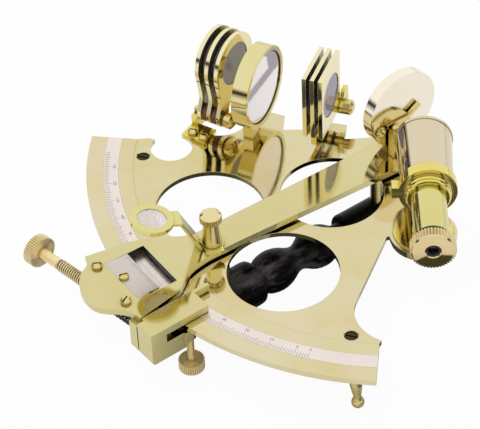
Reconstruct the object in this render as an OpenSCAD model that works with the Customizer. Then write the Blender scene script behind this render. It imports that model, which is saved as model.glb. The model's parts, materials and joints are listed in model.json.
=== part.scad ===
// Sextant with a 160 mm brass frame, a ball-ended handle, two mirrors, two sets
// of shades, a sighting telescope and an index arm with tangent screw and clamp.
// Millimetres. +Z up. The origin is the centre of the third foot's resting face,
// on the axis about which the index arm swings; the graduated arc is towards -Y.

/* [Frame] */
// Height of the arc's front face above the three feet
stand_h = 50; // [46:1:60]
// Outer radius of the arc
limb_r = 160; // [156:1:175]
// Radial width of the arc
limb_w = 24; // [22:0.5:28]
// Thickness of the arc
limb_t = 3; // [2.6:0.1:4]
// How far the web lies below the arc's face
web_step = 0.4; // [0.2:0.1:0.8]
// Half angle of the arc
limb_half = 46.3; // [45:0.5:50]
// Distance from the arc's rim to the silver band
scale_in = 8.7; // [7:0.1:10]
// Width of the silver band
scale_w = 7.8; // [6:0.1:8.4]
// Thickness of the silver band
scale_t = 1; // [0.6:0.1:1.4]
// Radius of the two lower round openings
hole_r = 27.9; // [24:0.5:28.5]
// Radius of the upper round opening
top_hole_r = 26.6; // [23:0.5:27]
// Radius of the lobe that carries the telescope
lobe_r = 17; // [16.4:0.2:19]

/* [Pivot and feet] */
// Diameter of the pivot socket
socket_d = 18; // [16:0.5:22]
// Diameter of the index arm's axle
axle_d = 8; // [6:0.5:9]
// Diameter of the ball at the end of a foot
foot_ball_d = 6.5; // [5.5:0.5:9]
// Diameter of a foot where it meets the frame
foot_top_d = 9; // [8:0.5:11]
// Distance of the outer feet from the centre line
foot_x = 84.8; // [80:1:88]
// Diameter of the screw holes above the outer feet
foot_hole_d = 6.4; // [5.8:0.1:7]

/* [Handle] */
// Depth of the handle's axis below the arc's face
grip_drop = 32; // [30:1:33]
// Largest diameter of the grip
grip_d = 24; // [20:1:26]
// Diameter of the two handle posts
post_d = 5.8; // [5:0.2:7]
// Distance of the outer post from the pivot
post_out_y = 112; // [110:0.5:114]
// Distance of the inner post from the pivot
post_in_y = 13.4; // [12:0.1:13.8]

/* [Index arm] */
// Height of the arm's underside above the arc's face
arm_gap = 1; // [0.8:0.1:1.6]
// Thickness of the arm
arm_t = 3.5; // [3:0.1:4.5]
// Half width of the arm near its end
arm_hw = 8.9; // [8:0.1:11]
// Thickness of the vernier plate
vernier_t = 1.2; // [0.8:0.1:1.6]

/* [Mirrors] */
// Height of the mirrors' and the telescope's centres above the arc's face
optic_h = 28.5; // [27.5:0.5:32]
// Diameter of the horizon mirror's cell
hm_d = 45; // [43:0.5:47]
// Diameter of the horizon mirror's glass
hm_glass_d = 39.8; // [36:0.2:41]
// Depth of the horizon mirror's cell
hm_depth = 8.6; // [7:0.2:11]
// Diameter of the index mirror's cell
im_d = 42.6; // [40:0.5:43]
// Depth of the index mirror's cell
im_depth = 6; // [5:0.5:6.5]
// Thickness of the mirror glasses
mirror_t = 2.5; // [2:0.1:3]

/* [Shades] */
// Diameter of the shade glasses
shade_glass_d = 23.5; // [20:0.5:25]
// Diameter of the head of a horizon shade
hs_head_d = 34; // [31:0.5:35]
// Thickness of the shade plates
shade_t = 2.2; // [1.8:0.1:2.6]
// Distance between the horizon shades
hs_pitch = 5.8; // [5:0.1:6.4]
// Width of an index shade
is_w = 28; // [27:0.5:29]
// Height of an index shade
is_h = 37.5; // [34:0.5:38]
// Distance between the index shades
is_pitch = 4.3; // [4:0.1:5]
// Diameter of the shade pins
pin_d = 3.4; // [3:0.1:4]

/* [Telescope] */
// Diameter of the barrel at the object glass
barrel_front_d = 29.5; // [27:0.5:31]
// Diameter of the barrel at the holder ring
barrel_rear_d = 24.5; // [22:0.5:25.5]
// Length of the barrel in front of the ring
barrel_l = 37.7; // [30:1:42]
// Outer diameter of the holder ring
ring_d = 29; // [28.5:0.5:31]
// Width of the holder ring
ring_w = 6; // [4:0.5:8]
// Diameter of the draw tube
draw_d = 17.3; // [15:0.1:18]
// Distance from the ring's middle to the eye end
eye_l = 45.4; // [40:1:50]
// Diameter of the eyepiece cap
eye_cap_d = 22.6; // [21:0.5:24]
// Length of the eyepiece cap
eye_cap_l = 5.2; // [4:0.2:8]
// Diameter of the eye hole
eye_hole_d = 6.2; // [4:0.2:9]
// Diameter of the holder's stem
stem_d = 8; // [7:0.5:9]

/* [Tangent screw and clamp] */
// Radial distance of the tangent screw's axis outside the arc's rim
ts_r = 8.3; // [7.5:0.1:10]
// Depth of the tangent screw's axis below the arc's face
ts_drop = 5; // [4.6:0.1:6]
// Diameter of the tangent screw
ts_d = 5.6; // [5:0.1:6.2]
// Diameter of the tangent screw's knob
ts_knob_d = 16.6; // [14:0.5:19]
// Width of the tangent screw's knob
ts_knob_w = 5.3; // [4:0.1:7]
// Wire diameter of the tangent spring
spring_wire = 1.3; // [1:0.1:1.5]
// Diameter of the clamp screw
cs_d = 3.4; // [3:0.1:4]
// Diameter of the clamp screw's head
cs_head_d = 12.9; // [10:0.5:15]
// Depth of the clamp screw's head below the arc's face
cs_drop = 33; // [30:0.5:36]

/* [Magnifier] */
// Height of the magnifier's ring above the arc's face
mag_h = 33; // [28:1:36]
// Outer diameter of the magnifier's ring
mag_d = 21.5; // [20:0.5:24]
// Diameter of the magnifier's lens
mag_lens_d = 14.5; // [12:0.5:16]
// Diameter of the thumbscrew's cap
thumb_d = 11; // [9:0.5:13]
// Height of the thumbscrew above the arm
thumb_h = 20.5; // [18:0.5:24]

/* [Fits] */
// Radial clearance of a shaft in its bore
run_fit = 0.04; // [0.02:0.01:0.08]
// Gap between faces that slide or swing past each other
slide_gap = 0.3; // [0.2:0.05:0.4]
// Gap around pieces that are set in a recess
seat_gap = 0.05; // [0.02:0.01:0.1]

/* [Hidden] */
$fn = 72;

// Heights of the main faces
face_z = stand_h;
web_z = face_z - web_step;
back_z = face_z - limb_t;
arm_z = face_z + arm_gap;
arm_top = arm_z + arm_t;
optic_z = face_z + optic_h;
grip_z = face_z - grip_drop;

// Radii of the arc
limb_in = limb_r - limb_w;
scale_out_r = limb_r - scale_in;
scale_in_r = scale_out_r - scale_w;

// The arm and what it carries are drawn at the reading of the photograph
arm_a = -3.2;
ts_a = arm_a + 11.6;
clamp_a = arm_a + 3.2;
lobe_c = [52.2, -26.7];
hm_c = [-60.5, -38.5];
hm_a = 26.9;
hs_c = [-78, -44.4];
hs_a = 20.5;
is_c = [-32.3, -17.7];
is_a = 32;
tel_a = 142.3;
tel_off = 1.7;

// Points on a smooth curve through a list of points
function spline(p, n = 4) = [for (i = [0:len(p) - 2]) for (k = [0:n - 1])
    let (t = k / n, a = p[max(i - 1, 0)], b = p[i], c = p[i + 1],
        d = p[min(i + 2, len(p) - 1)])
    0.5 * (2 * b + (c - a) * t + (2 * a - 5 * b + 4 * c - d) * t * t
        + (3 * b - a - 3 * c + d) * t * t * t)];
function polar(r, a) = [r * sin(a), -r * cos(a)];
function neg_y(p) = [for (q = p) [q[0], -q[1]]];

// Cylinder along X from x0 to x1
module xcyl(d, x0, x1) {
    translate([x0, 0, 0]) rotate([0, 90, 0]) cylinder(d = d, h = x1 - x0);
}
// Round-head screw, slotted, standing on z = 0 with its shank below
module round_screw(d, h, shank_d, shank_l, turn = 0) {
    difference() {
        union() {
            cylinder(d = d, h = h * 0.55);
            translate([0, 0, h * 0.55]) cylinder(d1 = d, d2 = d * 0.62, h = h * 0.45);
            translate([0, 0, -shank_l]) cylinder(d = shank_d, h = shank_l);
        }
        rotate([0, 0, turn]) translate([-d, -d * 0.08, h * 0.55])
            cube([2 * d, d * 0.16, h]);
    }
}
// Knurled rim: a disc on z = 0 with n grooves, V-shaped, that leave narrow ridges
module knurled(d, h, n) {
    groove = 0.4 * PI * d / n;
    difference() {
        cylinder(d = d, h = h);
        for (i = [0:n - 1]) rotate([0, 0, i * 360 / n])
            translate([d / 2, 0, -1]) cylinder(r = groove, h = h + 2, $fn = 4);
    }
}

// frame
module web_outline() {
    rc = polar(limb_in - 2.5, limb_half + 0.3);
    lc = polar(limb_in - 6, -limb_half - 0.3);
    difference() {
        union() {
            polygon(concat(
                [polar(limb_in + 1, -limb_half + 0.4), lc, [-91.4, -87.6], [-81, -84.5],
                 [-85.6, -74.3]],
                spline([[-86.3, -71.2], [-84.8, -67], [-81.4, -65.5], [-79.4, -64.2]]),
                [[-79.1, -64], [-83, -50], [-68.3, -43],
                 [-75.5, -32.5], [-69.1, -26.8], [-62.8, -23.4], [-60.1, -26.2],
                 [-54.4, -31.2],
                 [-48.9, -24.2], [-45.4, -21.6], [-50.5, -15.5], [-43.6, -8.9],
                 [-35.9, -3], [-32.4, -6.5], [-28, -11.2], [-24.7, -6.8],
                 [-19.4, 1]],
                [for (a = [176:-8:16]) 19.4 * [cos(a), sin(a)]],
                [[27, -2.6], [38, -8.2], [48, -10.4], lobe_c, [43.4, -42.7],
                 [68.6, -83.3], [86, -72], rc, polar(limb_in + 1, limb_half - 0.4)],
                [for (a = [limb_half - 1:-3:-limb_half + 1]) polar(limb_in + 1, a)]));
            translate(lobe_c) circle(r = lobe_r);
        }
        translate([-81, -84.5]) circle(r = 11);
        translate([-84, -50]) circle(r = 15.2);
        translate([87.1, -71.8]) circle(r = 21.8);
        for (s = [-1, 1]) translate([s * 30, -limb_r + 62.3]) circle(r = hole_r);
        translate([0, -42.7]) circle(r = top_hole_r);
    }
}
module limb_outline(r0, r1) {
    intersection() {
        difference() {
            circle(r = r1, $fn = 288);
            circle(r = r0, $fn = 288);
        }
        polygon([[0, 0], polar(2 * limb_r, limb_half),
            polar(2 * limb_r, limb_half - 30), polar(2 * limb_r, 0),
            polar(2 * limb_r, -limb_half + 30), polar(2 * limb_r, -limb_half + 0.5)]);
    }
}
module at_feet() {
    for (s = [-1, 1]) translate([s * foot_x, -limb_r + 60, 0]) children();
}
module at_posts() {
    for (y = [post_in_y, post_out_y]) translate([0, -y, 0]) children();
}
module frame_plate() {
    color("#d9c88c") difference() {
        union() {
            translate([0, 0, back_z]) linear_extrude(limb_t)
                limb_outline(limb_in, limb_r);
            translate([0, 0, back_z]) linear_extrude(limb_t - web_step)
                web_outline();
        }
        translate([0, 0, face_z - scale_t]) linear_extrude(scale_t + 1)
            limb_outline(scale_in_r, scale_out_r);
        translate([0, 0, back_z - 1]) cylinder(d = socket_d, h = limb_t + 2);
        translate([lobe_c[0], lobe_c[1], back_z - 1])
            cylinder(d = socket_bore_d, h = limb_t + 2);
        at_feet() {
            translate([0, 0, web_z - 2]) cylinder(d = foot_hole_d, h = 5);
            translate([0, 0, web_z - 0.5])
                cylinder(d1 = foot_hole_d, d2 = foot_hole_d + 1.2, h = 0.6);
            translate([0, 0, back_z - 1]) cylinder(d = 3.2, h = 5);
        }
        at_posts() translate([0, 0, back_z - 1]) cylinder(d = rivet_d, h = limb_t + 2);
    }
}
module arc_scale() {
    color("#e6e0d8") translate([0, 0, face_z - scale_t]) linear_extrude(scale_t)
        limb_outline(scale_in_r + seat_gap, scale_out_r - seat_gap);
}
// Turned foot standing on z = 0, with its top face at height h. Its end is a
// ball, flat over a radius of flat_r.
module turned_foot(h, top_d, flat_r = 0) {
    r = foot_ball_d / 2;
    neck = r * 0.62;
    a0 = asin(flat_r / r);
    ball_z = r * cos(a0);
    rotate_extrude() polygon(concat(
        [[0, 0]],
        [for (a = [a0 : 12 : 142]) [r * sin(a), ball_z - r * cos(a)]],
        spline([[neck, 7], [neck * 1.05, 8.6], [r * 0.82, 12.2]], 3),
        [[r * 0.98, 16], [top_d * 0.42, h - 5], [top_d / 2, h - 4],
         [top_d / 2, h], [0, h]]));
}
// The outer feet splay a little: from the ball's centre up to the screw hole
module outer_feet() {
    r = foot_ball_d / 2;
    rise = back_z - r;
    lean = atan(norm(foot_splay) / rise);
    color("#c9a84a") for (s = [-1, 1]) translate([s * foot_x, -limb_r + 60, 0])
        difference() {
            translate([s * foot_splay[0], foot_splay[1], r])
                rotate([0, 0, atan2(-foot_splay[1], -s * foot_splay[0])])
                rotate([0, lean, 0]) translate([0, 0, -r])
                turned_foot(back_z + 1.5, foot_top_d);
            translate([-20, -20, back_z]) cube([40, 40, 10]);
            translate([0, 0, back_z - 9]) cylinder(d = 3, h = 10);
        }
}
foot_splay = [1.9, 2.4];
module foot_screws() {
    color("#b99a45") at_feet() translate([0, 0, web_z - 2]) difference() {
        union() {
            cylinder(d = foot_hole_d - 0.6, h = 1.1);
            translate([0, 0, -8]) cylinder(d = 2.9, h = 8);
        }
        rotate([0, 0, 35]) translate([-5, -0.4, 0.6]) cube([10, 0.8, 2]);
    }
}
pivot_foot_h = stand_h - 23.5;
socket_low = pivot_foot_h;
socket_top_d = socket_d + 1;
module pivot_socket() {
    color("#c9a84a") difference() {
        union() {
            translate([0, 0, socket_low]) cylinder(d = socket_d - 2, h = 10);
            translate([0, 0, socket_low + 10])
                cylinder(d1 = socket_d - 2, d2 = socket_top_d, h = back_z - socket_low - 13);
            translate([0, 0, back_z - 3]) cylinder(d = socket_top_d, h = 3);
            translate([0, 0, back_z - 0.01])
                cylinder(d = socket_d - 2 * seat_gap, h = web_z - back_z + 0.01);
            translate([0, 0, web_z - 0.01])
                cylinder(d = socket_d, h = arm_z - slide_gap - web_z + 0.01);
        }
        translate([0, 0, socket_low - 1]) cylinder(d = axle_d + 2 * run_fit, h = 60);
        translate([0, 0, socket_low - 1]) cylinder(d = axle_d + 4, h = 7);
    }
}
module pivot_foot() {
    color("#c9a84a") union() {
        turned_foot(pivot_foot_h, 10, 2);
        translate([0, 0, pivot_foot_h - 0.8]) cylinder(d = socket_d - 3, h = 0.8);
        translate([0, 0, pivot_foot_h - 0.01])
            cylinder(d = axle_d + 4 - 2 * seat_gap, h = 1.5);
    }
}

// handle
rivet_d = 3.2;
post_low = grip_z - 2;
module along_grip() {
    translate([0, 0, grip_z]) rotate([90, 0, 0]) children();
}
module handle_grip() {
    g = grip_d / 2;
    color("#1c1a1c") difference() {
        along_grip() rotate_extrude() polygon(concat([[0, 5.5]],
            [[g * 0.5, 5.5], [g * 0.6, 6.2], [g * 0.62, 9], [g * 0.7, 10],
             [g * 0.76, 11.5], [g * 0.78, 35], [g * 0.73, 36.2], [g * 0.5, 37]],
            spline([[g * 0.48, 39.4], [g * 0.54, 41.8], [g * 0.68, 44.2],
                [g * 0.82, 47], [g * 0.93, 52], [g * 0.86, 58.4],
                [g * 0.64, 63.4], [g * 0.56, 66.5], [g * 0.62, 70], [g * 0.84, 75.5],
                [g * 0.93, 81.5], [g * 0.84, 87.6], [g * 0.62, 91.4], [g * 0.58, 92.6]], 3),
            [[g * 0.9, 93.4], [g * 0.97, 94.4], [g, 96], [g, 104], [g * 0.97, 105.5],
             [g * 0.9, 107], [g * 0.86, 113], [g * 0.78, 116], [g * 0.55, 118],
             [0, 118.6]]));
        at_posts() translate([0, 0, post_low - 1])
            cylinder(d = post_d + 2 * seat_gap, h = grip_d);
        translate([0, -4, grip_z]) rotate([90, 0, 0]) cylinder(d = 3, h = 4.5);
    }
}
module handle_posts() {
    color("#c9a84a") at_posts() union() {
        translate([0, 0, post_low]) cylinder(d = post_d, h = back_z - post_low);
        translate([0, 0, back_z - 1.6]) cylinder(d = post_d + 1.4, h = 1.6);
        translate([0, 0, back_z - 0.01])
            cylinder(d = rivet_d - 2 * seat_gap, h = web_z - back_z);
    }
}

// horizon mirror: local +X is the way the glass faces
module on_hm() {
    translate([hm_c[0], hm_c[1], 0]) rotate([0, 0, hm_a]) children();
}
hm_lip = 0.8;
module horizon_mirror_cell() {
    color("#d9bf5e") on_hm() translate([0, 0, optic_z]) difference() {
        xcyl(hm_d, -hm_depth + hm_lip, hm_lip);
        xcyl(hm_glass_d + 2 * seat_gap, -mirror_t, hm_lip + 1);
        for (y = hm_screw_y) translate([0, y, 0])
            xcyl(2.2, -hm_depth + hm_lip - 1, -hm_depth + hm_lip + 2.4);
    }
}
module horizon_mirror_glass() {
    color("#d8dadd") on_hm() translate([0, 0, optic_z]) xcyl(hm_glass_d, -mirror_t, 0);
}
hm_back = -hm_depth + hm_lip;
hm_screw_y = [-0.6, 7.4];
module horizon_mirror_foot() {
    color("#c9a84a") on_hm() difference() {
        union() {
            intersection() {
                translate([hm_back, -9.8, web_z]) cube([5.4, 7.2, optic_z - web_z]);
                difference() {
                    translate([-30, -30, web_z]) cube([60, 60, 30]);
                    translate([0, 0, optic_z]) xcyl(hm_d + 2 * seat_gap, -20, 20);
                }
            }
            translate([hm_back - 2.4, -3, web_z]) cube([2.4, 12.8, optic_z - web_z]);
            translate([hm_back - 2.4, 3.4, optic_z]) rotate([0, 90, 0])
                cylinder(d = 12.8, h = 2.4);
            translate([hm_back - 6.5, 0, web_z]) cube([6.5, 9.8, 2.2]);
        }
        for (y = hm_screw_y) translate([0, y, optic_z]) xcyl(2.2, hm_back - 3, hm_back + 1);
    }
}
module horizon_mirror_screws() {
    color("#b99a45") on_hm() for (y = hm_screw_y)
        translate([hm_back - 2.4, y, optic_z])
        rotate([0, -90, 0]) round_screw(4, 1.8, 2, 4.4, 90);
}

// shades: local +X is the way the front glass faces
module on_hs() {
    translate([hs_c[0], hs_c[1], 0]) rotate([0, 0, hs_a]) children();
}
module on_is() {
    translate([is_c[0], is_c[1], 0]) rotate([0, 0, is_a]) children();
}
hs_pin_y = -12.5;
hs_pin_z = optic_z + 8.5 - 28.2;
hs_z = optic_z + 8.5;
is_pin_y = is_w / 2 + 1;
is_z = optic_z + 1.5;
is_pin_z = is_z - is_h / 2 + 0.3;
washer_gap = 0.1;
hs_back = -2 * hs_pitch - shade_t / 2;
is_back = -2 * is_pitch - shade_t / 2;
bore_d = pin_d + 2 * run_fit;

module hs_blade(k) {
    color("#dcc566") on_hs() translate([-k * hs_pitch - shade_t / 2, 0, 0])
        rotate([90, 0, 90]) linear_extrude(shade_t) difference() {
            union() {
                translate([0, hs_z]) circle(d = hs_head_d);
                polygon([for (q = [[-16.2, -6], [-14.6, -14], [-14.2, -18],
                        [hs_pin_y - 4.6, hs_pin_z - hs_z + 3], [hs_pin_y - 4.6, hs_pin_z - hs_z],
                        [hs_pin_y + 4.6, hs_pin_z - hs_z], [hs_pin_y + 5, hs_pin_z - hs_z + 4],
                        [-3.6, -18.5], [3, -16]])
                    [q[0], hs_z + q[1]]]);
                translate([hs_pin_y, hs_pin_z]) circle(d = 9.2);
            }
            translate([0, hs_z]) circle(d = shade_glass_d + 2 * seat_gap);
            translate([hs_pin_y, hs_pin_z]) circle(d = bore_d);
        }
}
module hs_glass(k) {
    color([0.35, 0.33, 0.42]) on_hs() translate([0, 0, hs_z])
        xcyl(shade_glass_d, -k * hs_pitch - shade_t * 0.32, -k * hs_pitch + shade_t * 0.32);
}
module horizon_shade_1() { hs_blade(0); }
module horizon_shade_2() { hs_blade(1); }
module horizon_shade_3() { hs_blade(2); }
module horizon_glass_1() { hs_glass(0); }
module horizon_glass_2() { hs_glass(1); }
module horizon_glass_3() { hs_glass(2); }

hs_post_t = 3.8;
module horizon_shade_bracket() {
    color("#d9bf5e") on_hs() difference() {
        union() {
            translate([hs_back - washer_gap - hs_post_t, hs_pin_y - 4.6, web_z])
                cube([hs_post_t, 9, hs_pin_z - 1.2 - web_z]);
            translate([hs_back - washer_gap - hs_post_t, -27, web_z])
                cube([14, 27 + hs_pin_y - 2.6, 2]);
        }
        translate([0, hs_pin_y, hs_pin_z]) xcyl(pin_d, hs_back - 10, 10);
        hs_screw_places() translate([0, 0, -3]) cylinder(d = 2.6, h = 10);
    }
}
module hs_screw_places() {
    for (p = [[-11.9, -23.2], [-5.1, -24]]) translate([p[0], p[1], web_z + 2]) children();
}
module is_screw_places() {
    for (p = [[is_back + 2.2, 6.2], [is_back + 2.2, 10.8]])
        translate([p[0], p[1], web_z + 2.2]) children();
}
module bracket_screws() {
    color("#c9a84a") {
        on_hs() hs_screw_places() round_screw(5.2, 2.6, 2.5, 1.9, 20);
        on_is() is_screw_places() round_screw(3.8, 1.6, 2.5, 2.1, 60);
    }
}
module horizon_shade_pin() {
    color("#c9a84a") on_hs() translate([0, hs_pin_y, hs_pin_z]) union() {
        xcyl(pin_d, hs_back - washer_gap - hs_post_t, shade_t / 2 + 2.2);
        xcyl(6.6, shade_t / 2 + washer_gap, shade_t / 2 + 1.6);
        xcyl(8.6, shade_t / 2 + 1.6, shade_t / 2 + 5);
        translate([shade_t / 2 + 5, 0, 0]) rotate([0, 90, 0])
            cylinder(d1 = 8.6, d2 = 5, h = 1.1);
    }
}
module index_shade_bracket() {
    x0 = is_back - washer_gap - 3;
    color("#d9bf5e") on_is() difference() {
        union() {
            translate([x0, 7, web_z]) cube([3, is_pin_y - 2.5, is_pin_z - web_z]);
            translate([x0, is_pin_y, is_pin_z]) rotate([0, 90, 0]) cylinder(d = 9, h = 3);
            translate([x0, 3.5, web_z]) cube([-x0 - 4.5, 10, 2.2]);
        }
        translate([x0 - 1, is_pin_y + 4.5, web_z - 1]) cube([5, 5, 20]);
        translate([0, is_pin_y, is_pin_z]) xcyl(pin_d, is_back - 10, 10);
        is_screw_places() translate([0, 0, -3]) cylinder(d = 2.6, h = 10);
    }
}
module index_shade_spring() {
    color("#e0cf9a") on_is() translate([shade_t / 2 + washer_gap, is_pin_y, is_pin_z])
        difference() {
            union() {
                rotate([0, 90, 0]) cylinder(d = 8.4, h = 2);
                translate([0, -0.6, -1]) cube([2, 7.2, 8.2]);
                translate([0, 3, 7.2]) rotate([0, 90, 0]) cylinder(d = 7.2, h = 2);
            }
            xcyl(pin_d, -1, 3);
        }
}
module index_shade_pin() {
    color("#c9a84a") on_is() translate([0, is_pin_y, is_pin_z]) union() {
        xcyl(pin_d, is_back - washer_gap - 3, shade_t / 2 + 3);
        xcyl(8.2, shade_t / 2 + washer_gap + 2, shade_t / 2 + 6);
        translate([shade_t / 2 + 6, 0, 0]) rotate([0, 90, 0])
            cylinder(d1 = 8.2, d2 = 5, h = 1.1);
    }
}
module shade_washers() {
    color("#6b4038") {
        for (k = [0, 1]) on_hs() translate([0, hs_pin_y, hs_pin_z]) difference() {
            xcyl(9, -k * hs_pitch - hs_pitch + shade_t / 2 + washer_gap,
                -k * hs_pitch - shade_t / 2 - washer_gap);
            xcyl(pin_d, -40, 10);
        }
        for (k = [0, 1]) on_is() translate([0, is_pin_y, is_pin_z]) difference() {
            xcyl(7, -k * is_pitch - is_pitch + shade_t / 2 + washer_gap,
                -k * is_pitch - shade_t / 2 - washer_gap);
            xcyl(pin_d, -40, 10);
        }
    }
}
module is_blade(k) {
    color("#dcc566") on_is() translate([-k * is_pitch - shade_t / 2, 0, 0])
        rotate([90, 0, 90]) linear_extrude(shade_t) difference() {
            union() {
                translate([-is_w / 2, is_z - is_h / 2]) square([is_w, is_h]);
                translate([is_pin_y, is_pin_z]) circle(d = 8.4);
            }
            translate([0, is_z]) circle(d = shade_glass_d + 2 * seat_gap);
            translate([is_pin_y, is_pin_z]) circle(d = bore_d);
        }
}
module is_glass(k) {
    color([0.42, 0.4, 0.5]) on_is() translate([0, 0, is_z])
        xcyl(shade_glass_d, -k * is_pitch - shade_t * 0.32, -k * is_pitch + shade_t * 0.32);
}
module index_shade_1() { is_blade(0); }
module index_shade_2() { is_blade(1); }
module index_shade_3() { is_blade(2); }
module index_glass_1() { is_glass(0); }
module index_glass_2() { is_glass(1); }
module index_glass_3() { is_glass(2); }

// telescope: local +X points at the view
module on_tel() {
    translate([lobe_c[0], lobe_c[1], 0]) rotate([0, 0, tel_a])
        translate([0, -tel_off, optic_z]) children();
}
socket_bore_d = 2 * lobe_r - 4;
stem_low = back_z - 8;
module telescope_socket() {
    color("#d9bf5e") translate([lobe_c[0], lobe_c[1], 0]) difference() {
        union() {
            translate([0, 0, back_z]) cylinder(d = socket_bore_d - 2 * seat_gap,
                h = web_z + 0.8 - back_z);
            translate([0, 0, back_z - 2]) cylinder(d = socket_bore_d + 2.6, h = 2);
            translate([0, 0, back_z - 4]) cylinder(d = stem_d + 6, h = 4);
        }
        translate([0, 0, back_z - 20]) cylinder(d = stem_d + 2 * run_fit, h = 40);
    }
}
module telescope_ring() {
    color("#d9bf5e") difference() {
        union() {
            on_tel() xcyl(ring_d, -ring_w / 2, ring_w / 2);
            translate([lobe_c[0], lobe_c[1], web_z + 0.8 + slide_gap])
                cylinder(d = stem_d + 3, h = 2.4);
            translate([lobe_c[0], lobe_c[1], back_z - 4 - slide_gap])
                cylinder(d = stem_d, h = optic_z - ring_d / 2 + 2.4 - back_z + 4 + slide_gap);
            translate([lobe_c[0], lobe_c[1], stem_low])
                cylinder(d = stem_d - 1.6, h = 6);
            on_tel() translate([-ring_w / 2, ring_d / 2 - 1.5, -3.2]) cube([ring_w, 4.7, 6.4]);
        }
        on_tel() xcyl(barrel_rear_d + 2 * seat_gap, -50, 50);
        on_tel() xcyl(barrel_rear_d + 1.6, ring_w / 2, 50);
        on_tel() translate([0, ring_d / 2 - 4, 0]) rotate([-90, 0, 0])
            cylinder(d = 2.4, h = 12);
        on_tel() translate([-ring_w, ring_d / 2 - 1.7, -0.4]) cube([2 * ring_w, 9, 0.8]);
    }
}
module ring_screw() {
    color("#7d6a35") on_tel() translate([0, ring_d / 2 + 3.2, 0]) rotate([-90, 0, 0])
        round_screw(3.6, 1.2, 2.3, 3, 30);
}
module telescope_nut() {
    color("#c9a84a") translate([lobe_c[0], lobe_c[1], stem_low]) difference() {
        knurled(stem_d + 5, back_z - 4 - slide_gap - stem_low, 36);
        translate([0, 0, -1]) cylinder(d = stem_d - 1.5, h = 20);
    }
}
draw_in = 8;
module telescope_barrel() {
    color("#e0cf9a") on_tel() difference() {
        union() {
            xcyl(barrel_rear_d, -ring_w / 2 - 0.6, ring_w / 2 + 1);
            translate([ring_w / 2 + 0.3, 0, 0]) rotate([0, 90, 0])
                cylinder(d1 = barrel_rear_d + 1.2, d2 = barrel_front_d - 0.8,
                    h = barrel_l - ring_w / 2 - 1.8);
            xcyl(barrel_front_d, barrel_l - 1.6, barrel_l);
            xcyl(draw_d + 3, -ring_w / 2 - 4.4, 0);
        }
        xcyl(draw_d + 0.1, -30, 14);
        xcyl(draw_d + 3.4, 13.9, barrel_l - 8.5);
        xcyl(barrel_front_d - 4, barrel_l - 8.6, barrel_l + 1);
    }
}
module objective_lens() {
    color("#cfdde6") on_tel() xcyl(barrel_front_d - 4.1, barrel_l - 8.55, barrel_l - 5.6);
}
module draw_tube() {
    color("#d9cf80") on_tel() difference() {
        xcyl(draw_d, -eye_l + eye_cap_l, draw_in);
        xcyl(draw_d - 2.4, -eye_l + eye_cap_l - 1, draw_in + 1);
    }
}
module eyepiece_cap() {
    color("#d9bf5e") on_tel() difference() {
        union() {
            translate([-eye_l + 0.8, 0, 0]) rotate([0, 90, 0])
                knurled(eye_cap_d, eye_cap_l - 0.8, 44);
            translate([-eye_l, 0, 0]) rotate([0, 90, 0])
                cylinder(d1 = eye_cap_d - 2.8, d2 = eye_cap_d - 1.2, h = 0.81);
        }
        translate([-eye_l - 0.01, 0, 0]) rotate([0, 90, 0])
            cylinder(d1 = eye_hole_d + 2, d2 = eye_hole_d, h = 1);
        xcyl(eye_hole_d, -eye_l - 1, -eye_l + 3);
        xcyl(draw_d - 3, -eye_l + 2, -eye_l + eye_cap_l + 1);
    }
}
module eye_lens() {
    color("#cfdde6") on_tel() xcyl(draw_d - 3.1, -eye_l + 2.4, -eye_l + 4.4);
}

// index arm: local -Y runs along the arm
module on_arm() {
    rotate([0, 0, arm_a]) children();
}
window_u = [-16.6, 14.2];
window_v = [-16.1, -0.4];
vernier_u = [-16.4, 12.9];
vernier_v = [6, -6.6];
function rim(p) = [for (q = p) [q[0], -(limb_r + q[1])]];
module arm_outline() {
    polygon(concat(
        neg_y([[-10.6, 6], [-10, 30], [-arm_hw, 104]]),
        rim(spline([[-arm_hw, -43], [-10.5, -36], [-15.4, -28.6], [-18.6, -23],
            [-22.2, -14]], 3)),
        rim([[-22.4, -13.8]]),
        rim(spline([[-27.1, 11.1], [-24.2, 11.6], [-20.8, 14.2], [-17.6, 19.4],
            [-12.3, 23.4], [-6.5, 25.8], [0, 26.6], [6, 25.6], [10.8, 22.1],
            [14.8, 17.1], [19.6, 13.6], [25.6, 12]], 3)),
        rim([[25.6, 12]]),
        rim([[21, -13.4]]),
        rim(spline([[20.8, -13.8], [16.7, -19.1], [11.6, -26], [arm_hw + 0.4, -36],
            [arm_hw, -44]], 3)),
        neg_y([[arm_hw, 104], [11, 30], [12, 6]])));
    circle(d = 27);
}
module vernier_outline(grow = 0) {
    translate([vernier_u[0] - grow, -limb_r - vernier_v[0] - grow])
        square([vernier_u[1] - vernier_u[0] + 2 * grow,
            vernier_v[0] - vernier_v[1] + 2 * grow]);
}
module index_arm() {
    color("#d6cd88") on_arm() difference() {
        translate([0, 0, arm_z]) linear_extrude(arm_t) arm_outline();
        translate([window_u[0], -limb_r - window_v[1], arm_z - 1])
            cube([window_u[1] - window_u[0], window_v[1] - window_v[0], arm_t + 2]);
        translate([0, 0, arm_top - vernier_t]) linear_extrude(vernier_t + 1)
            vernier_outline(seat_gap);
        translate([0, 0, arm_z - 1]) cylinder(d = axle_d - 2, h = arm_t + 2);
        arm_screw_places() translate([0, 0, -arm_t - 1]) cylinder(d = 2.6, h = arm_t + 3);
        at_thumb() translate([0, 0, -arm_t - 1])
            cylinder(d = thumb_shank_d + 2 * run_fit, h = arm_t + 2);
        im_place() translate([0, 0, -arm_t - 1]) cylinder(d = 2.6, h = arm_t + 3);
    }
}
module pivot_axle() {
    color("#b99a45") union() {
        translate([0, 0, socket_low + 3]) cylinder(d = axle_d, h = arm_z - socket_low - 3);
        translate([0, 0, arm_z - 0.01])
            cylinder(d = axle_d - 2 - 2 * seat_gap, h = arm_t);
    }
}
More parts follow.
